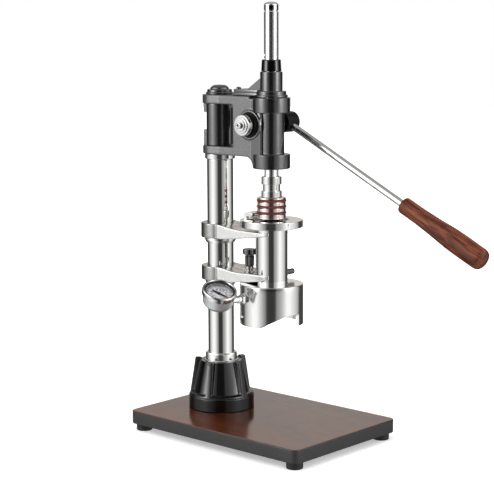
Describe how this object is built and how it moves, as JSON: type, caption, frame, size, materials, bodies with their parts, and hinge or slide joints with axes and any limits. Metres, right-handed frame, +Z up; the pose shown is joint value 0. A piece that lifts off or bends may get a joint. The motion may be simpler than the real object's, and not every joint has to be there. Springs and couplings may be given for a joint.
{
  "type": "lever espresso machine",
  "caption": "Tall hand press for coffee: a column on a board carries a geared head with a side lever, a brew cylinder over an open group head, and a pressure gauge.",
  "frame": {"origin": "on the surface that the machine stands on, under the middle of its bounding box at rest", "axes": "+Z up, -Y towards the user along the lever, +X towards the lever's hub"},
  "size_m": [0.172, 0.3902, 0.483],
  "materials": {
    "walnut_board": "dark oiled walnut",
    "pad_rubber": "matt black rubber",
    "gloss_black": "gloss black paint on cast iron",
    "satin_black": "satin black powder coat",
    "polished_steel": "polished stainless steel",
    "cast_steel": "satin cast steel",
    "dark_steel": "plain machined steel",
    "bronze": "bearing bronze",
    "black_plastic": "moulded black plastic",
    "red_silicone": "brick red silicone",
    "gasket_rubber": "black gasket rubber",
    "gauge_glass": "clear",
    "dial_card": "matt white print",
    "needle_black": "black enamel",
    "rosewood": "reddish brown, satin lacquer"
  },
  "bodies": {
    "frame": {"base_board": "walnut_board", "rubber_pad_front_left": "pad_rubber", "rubber_pad_front_right": "pad_rubber", "rubber_pad_back_left": "pad_rubber", "rubber_pad_back_right": "pad_rubber", "tie_rod": "dark_steel", "tie_washer": "dark_steel", "column_foot": "gloss_black", "foot_collar": "polished_steel", "column_tube": "polished_steel", "column_spigot": "dark_steel", "head_collar": "polished_steel", "column_sleeve": "satin_black", "column_cap": "satin_black", "lower_arm": "cast_steel", "upper_arm": "cast_steel", "lower_arm_clamp_screw": "dark_steel", "upper_arm_clamp_screw": "dark_steel", "lower_stop_collar": "polished_steel", "upper_stop_collar": "polished_steel", "arm_pin": "dark_steel", "brew_cylinder": "polished_steel", "cylinder_flange": "polished_steel", "group_head": "polished_steel", "group_gasket": "gasket_rubber", "shower_screen": "cast_steel", "screen_screw": "dark_steel", "gauge_nut": "polished_steel", "gauge_stem": "polished_steel", "gauge_case": "polished_steel", "gauge_dial": "dial_card", "gauge_glass": "gauge_glass", "gauge_bezel": "polished_steel"},
    "head": {"head_casting": "satin_black", "pinion_cover": "satin_black", "shaft_bush": "bronze", "guide_tower": "satin_black", "guide_bush": "bronze", "guide_cap": "gloss_black", "plate_screw": "dark_steel"},
    "lever": {"pinion_shaft": "dark_steel", "shaft_washer": "satin_black", "end_nut": "polished_steel", "end_screw": "dark_steel", "lever_hub": "satin_black", "hub_screw": "dark_steel", "lever_rod": "polished_steel", "lever_handle": "rosewood"},
    "ram": {"ram_rack": "polished_steel", "ram_cap": "polished_steel", "piston_coupler": "polished_steel", "piston": "polished_steel", "piston_screw": "dark_steel", "piston_seal_1": "red_silicone", "piston_seal_2": "red_silicone", "piston_seal_3": "red_silicone"},
    "needle": {"gauge_needle": "needle_black"},
    "knob": {"knob_screw": "polished_steel", "knob_grip": "black_plastic"}
  },
  "joints": [
    {"name": "head_swing", "type": "hinge", "parent": "frame", "child": "head", "pos_m": [0, 0.1313, 0.348], "axis": [0, 0, 1], "range_deg": [0, 90]},
    {"name": "lever_turn", "type": "hinge", "parent": "head", "child": "lever", "pos_m": [0, 0.0707, 0.3503], "axis": [1, 0, 0], "range_deg": [-40, 296]},
    {"name": "ram_slide", "type": "slide", "parent": "head", "child": "ram", "axis": [0, 0, 1], "range_m": [-0.062, 0.0084]},
    {"name": "needle_turn", "type": "hinge", "parent": "frame", "child": "needle", "pos_m": [-0.0652, 0.07331, 0.1662], "axis": [0.1988, 0.395, -0.8969], "range_deg": [0, 270], "stiffness_Nm_per_rad": 0.0005},
    {"name": "knob_turn", "type": "hinge", "parent": "frame", "child": "knob", "pos_m": [-0.0065, 0.081, 0.1855], "axis": [0, 0, 1], "range_deg": [-360, 360]}
  ],
  "couplings": [
    {"joint": "ram_slide", "follows": "lever_turn", "m_per_rad": -0.012}
  ]
}
